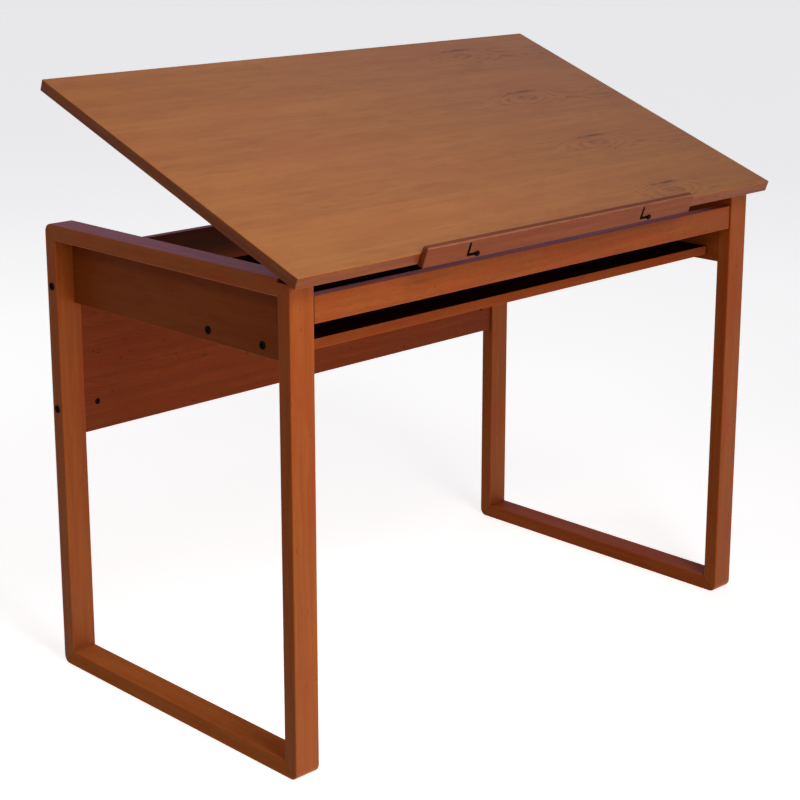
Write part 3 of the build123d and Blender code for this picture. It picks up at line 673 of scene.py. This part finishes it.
def slotted_ledge():
    """The pencil ledge with rounded edges and an L slot for each screw.

    It takes the place of the CAD ledge, whose windows are wider."""
    screws = [(sign * SCREW_SPREAD, LEDGE_LOW.z + SCREW_RISE) for sign in (-1.0, 1.0)]
    bm = bmesh.new()
    depth = LEDGE_HIGH.y - LEDGE_LOW.y

    def ring(points, y):
        return [bm.verts.new((p.x, y, p.y)) for p in points]

    def walls(rings, material):
        for near, far in zip(rings, rings[1:]):
            for k in range(len(near)):
                n = (k + 1) % len(near)
                bm.faces.new((near[k], near[n], far[n], far[k])).material_index = material

    def profile(edge):
        """(inset, depth) down one wall, rounded over by edge at the front and at the back."""
        turn = [math.pi / 2 * k / ROUND_STEPS for k in range(ROUND_STEPS + 1)]
        front = [(edge * (1 - math.sin(a)), edge * (1 - math.cos(a))) for a in turn]
        return front + [(inset, depth - y) for inset, y in reversed(front)]

    outlines = [([ledge_outline(inset) for inset, y in profile(1.5)], profile(1.5))]
    for x, z in screws:
        outlines.append(([slot_outline(x, z, inset) for inset, y in profile(0.35)], profile(0.35)))
    ends = [[], []]
    for loops, steps in outlines:
        rings = [ring(loop, LEDGE_LOW.y + y) for loop, (inset, y) in zip(loops, steps)]
        walls(rings, 0 if not ends[0] else 1)
        ends[0].append(rings[0])
        ends[1].append(rings[-1])
    for side in ends:
        flat = [v for loop in side for v in loop]
        for a, b, c in tessellate_polygon([[Vector((v.co.x, v.co.z, 0.0)) for v in loop] for loop in side]):
            bm.faces.new((flat[a], flat[b], flat[c]))
    bmesh.ops.recalc_face_normals(bm, faces=bm.faces)
    back = Matrix.Translation(HINGE) @ Matrix.Rotation(TILT, 4, "X") @ Matrix.Translation(-HINGE)
    bmesh.ops.transform(bm, matrix=back @ Matrix.Scale(1.0 / MM_PER_M, 4), verts=bm.verts)
    mesh = bpy.data.meshes.new("slotted_ledge")
    bm.to_mesh(mesh)
    bm.free()
    mesh.polygons.foreach_set("use_smooth", [True] * len(mesh.polygons))
    mesh.set_sharp_from_angle(angle=math.radians(50))
    ledge = bpy.data.objects.new("slotted_ledge", mesh)
    bpy.context.scene.collection.objects.link(ledge)
    even = ledge.modifiers.new("even_normals", "WEIGHTED_NORMAL")
    even.keep_sharp = True
    mesh.materials.append(ledge_wood())
    mesh.materials.append(slot_painted_shade())
    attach(ledge, "ledge")
    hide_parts("pencil_ledge")


slotted_ledge()


def stage_floor():
    mesh = bpy.data.meshes.new("floor")
    reach = 14.0
    corners = [(-reach, -reach, 0), (reach, -reach, 0), (reach, reach, 0), (-reach, reach, 0)]
    mesh.from_pydata(corners, [], [(0, 1, 2, 3)])
    floor = bpy.data.objects.new("floor", mesh)
    bpy.context.scene.collection.objects.link(floor)
    s = Shader("pale_floor")
    place = s.vector("MULTIPLY", s.place, (MM_PER_M, MM_PER_M, MM_PER_M))
    tone = s.noise(place, (300.0, 300.0, 300.0), 2.0)
    s.set(
        Base_Color=s.mix(tone, (0.90, 0.90, 0.91), (0.93, 0.93, 0.93)),
        Roughness=0.9,
        Specular_IOR_Level=0.0,
        Emission_Color=WHITE,
        Emission_Strength=0.68,
    )
    mesh.materials.append(s.material)
    floor.visible_diffuse = False
    floor.visible_glossy = False


def stage_backdrop():
    """A pale wall all round, for views from low down: it is seen, but it takes no part in the light."""
    steps, radius, height = 64, 13.8, 8.0
    points = []
    for k in range(steps):
        a = 2 * math.pi * k / steps
        x, y = radius * math.cos(a), radius * math.sin(a)
        points += [(x, y, 0.0), (x, y, height)]
    following = [(k + 1) % steps for k in range(steps)]
    faces = [(2 * k, 2 * n, 2 * n + 1, 2 * k + 1) for k, n in enumerate(following)]
    mesh = bpy.data.meshes.new("backdrop")
    mesh.from_pydata(points, [], faces)
    backdrop = bpy.data.objects.new("backdrop", mesh)
    bpy.context.scene.collection.objects.link(backdrop)
    s = Shader("pale_backdrop")
    s.set(
        Base_Color=BLACK,
        Roughness=1.0,
        Specular_IOR_Level=0.0,
        Emission_Color=(1.0, 1.0, 1.01),
        Emission_Strength=0.80,
    )
    mesh.materials.append(s.material)
    backdrop.visible_diffuse = False
    backdrop.visible_glossy = False
    backdrop.visible_shadow = False


def area_light(name, place, target, size, power, colour, spread=180.0):
    data = bpy.data.lights.new(name, "AREA")
    data.shape = "DISK"
    data.size = size
    data.energy = power
    data.spread = math.radians(spread)
    data.color = colour
    lamp = bpy.data.objects.new(name, data)
    lamp.location = place
    lamp.visible_camera = False
    lamp.rotation_euler = (Vector(target) - Vector(place)).to_track_quat("-Z", "Y").to_euler()
    bpy.context.scene.collection.objects.link(lamp)


def studio():
    world = bpy.data.worlds.new("studio")
    bpy.context.scene.world = world
    world.use_nodes = True
    tree = world.node_tree
    sky = tree.nodes["Background"]
    place = tree.nodes.new("ShaderNodeTexCoord")
    way = place.outputs["Generated"]

    def share(direction, low, high):
        """One toward a direction, zero away from it."""
        toward = tree.nodes.new("ShaderNodeVectorMath")
        toward.operation = "DOT_PRODUCT"
        toward.inputs[1].default_value = direction
        ramp = tree.nodes.new("ShaderNodeMapRange")
        ramp.interpolation_type = "SMOOTHSTEP"
        ramp.inputs["From Min"].default_value = low
        ramp.inputs["From Max"].default_value = high
        tree.links.new(way, toward.inputs[0])
        tree.links.new(toward.outputs["Value"], ramp.inputs["Value"])
        return ramp.outputs[0]

    def tint(amount, first, second):
        node = tree.nodes.new("ShaderNodeMix")
        node.data_type = "RGBA"
        tree.links.new(amount, node.inputs[0])
        for socket, colour in ((node.inputs[6], first), (node.inputs[7], second)):
            if isinstance(colour, bpy.types.NodeSocket):
                tree.links.new(colour, socket)
            else:
                socket.default_value = (*colour, 1.0)
        return node.outputs[2]

    ground = tint(share((-1.0, 0.0, 0.0), 0.1, 0.7), (1.28, 1.13, 1.03), (0.19, 0.16, 0.13))
    colour = tint(share((0.0, 0.0, -1.0), -0.02, 0.12), (0.13, 0.13, 0.14), ground)
    colour = tint(share((0.68, 0.69, 0.24), 0.90, 0.99), colour, (0.50, 0.49, 0.86))
    tree.links.new(colour, sky.inputs["Color"])
    area_light("key_light", (-0.65, -2.0, 1.05), (-0.80, -0.2, 0.5), 0.9, 3.9, (1.0, 0.97, 0.93), 110.0)
    area_light("front_softbox", (-0.5, -2.3, 2.7), (-0.75, 0.0, 0.7), 1.4, 13.5, (1.0, 0.96, 0.90), 104.0)
    area_light("left_softbox", (-2.9, -0.3, 2.7), (-0.5, 0.0, 0.6), 0.8, 9.0, (1.0, 0.92, 0.78))
    area_light("back_softbox", (-1.3, 3.0, 2.0), (0.0, 0.2, 0.5), 1.6, 14.0, (1.0, 0.94, 0.86))
    area_light("right_softbox", (2.6, 1.3, 2.9), (0.0, 0.0, 0.8), 2.8, 6.0, (1.0, 0.97, 0.95))


def photo_camera():
    data = bpy.data.cameras.new("camera")
    data.sensor_width = 36.0
    data.lens = CAMERA_LENS
    data.shift_y = CAMERA_SHIFT
    data.clip_start = 0.05
    camera = bpy.data.objects.new("camera", data)
    camera.location = CAMERA_PLACE
    camera.rotation_euler = (math.pi / 2 - CAMERA_PITCH, 0.0, -CAMERA_YAW)
    bpy.context.scene.collection.objects.link(camera)
    bpy.context.scene.camera = camera


stage_floor()
stage_backdrop()
studio()
photo_camera()
bpy.context.scene.view_settings.view_transform = "Standard"
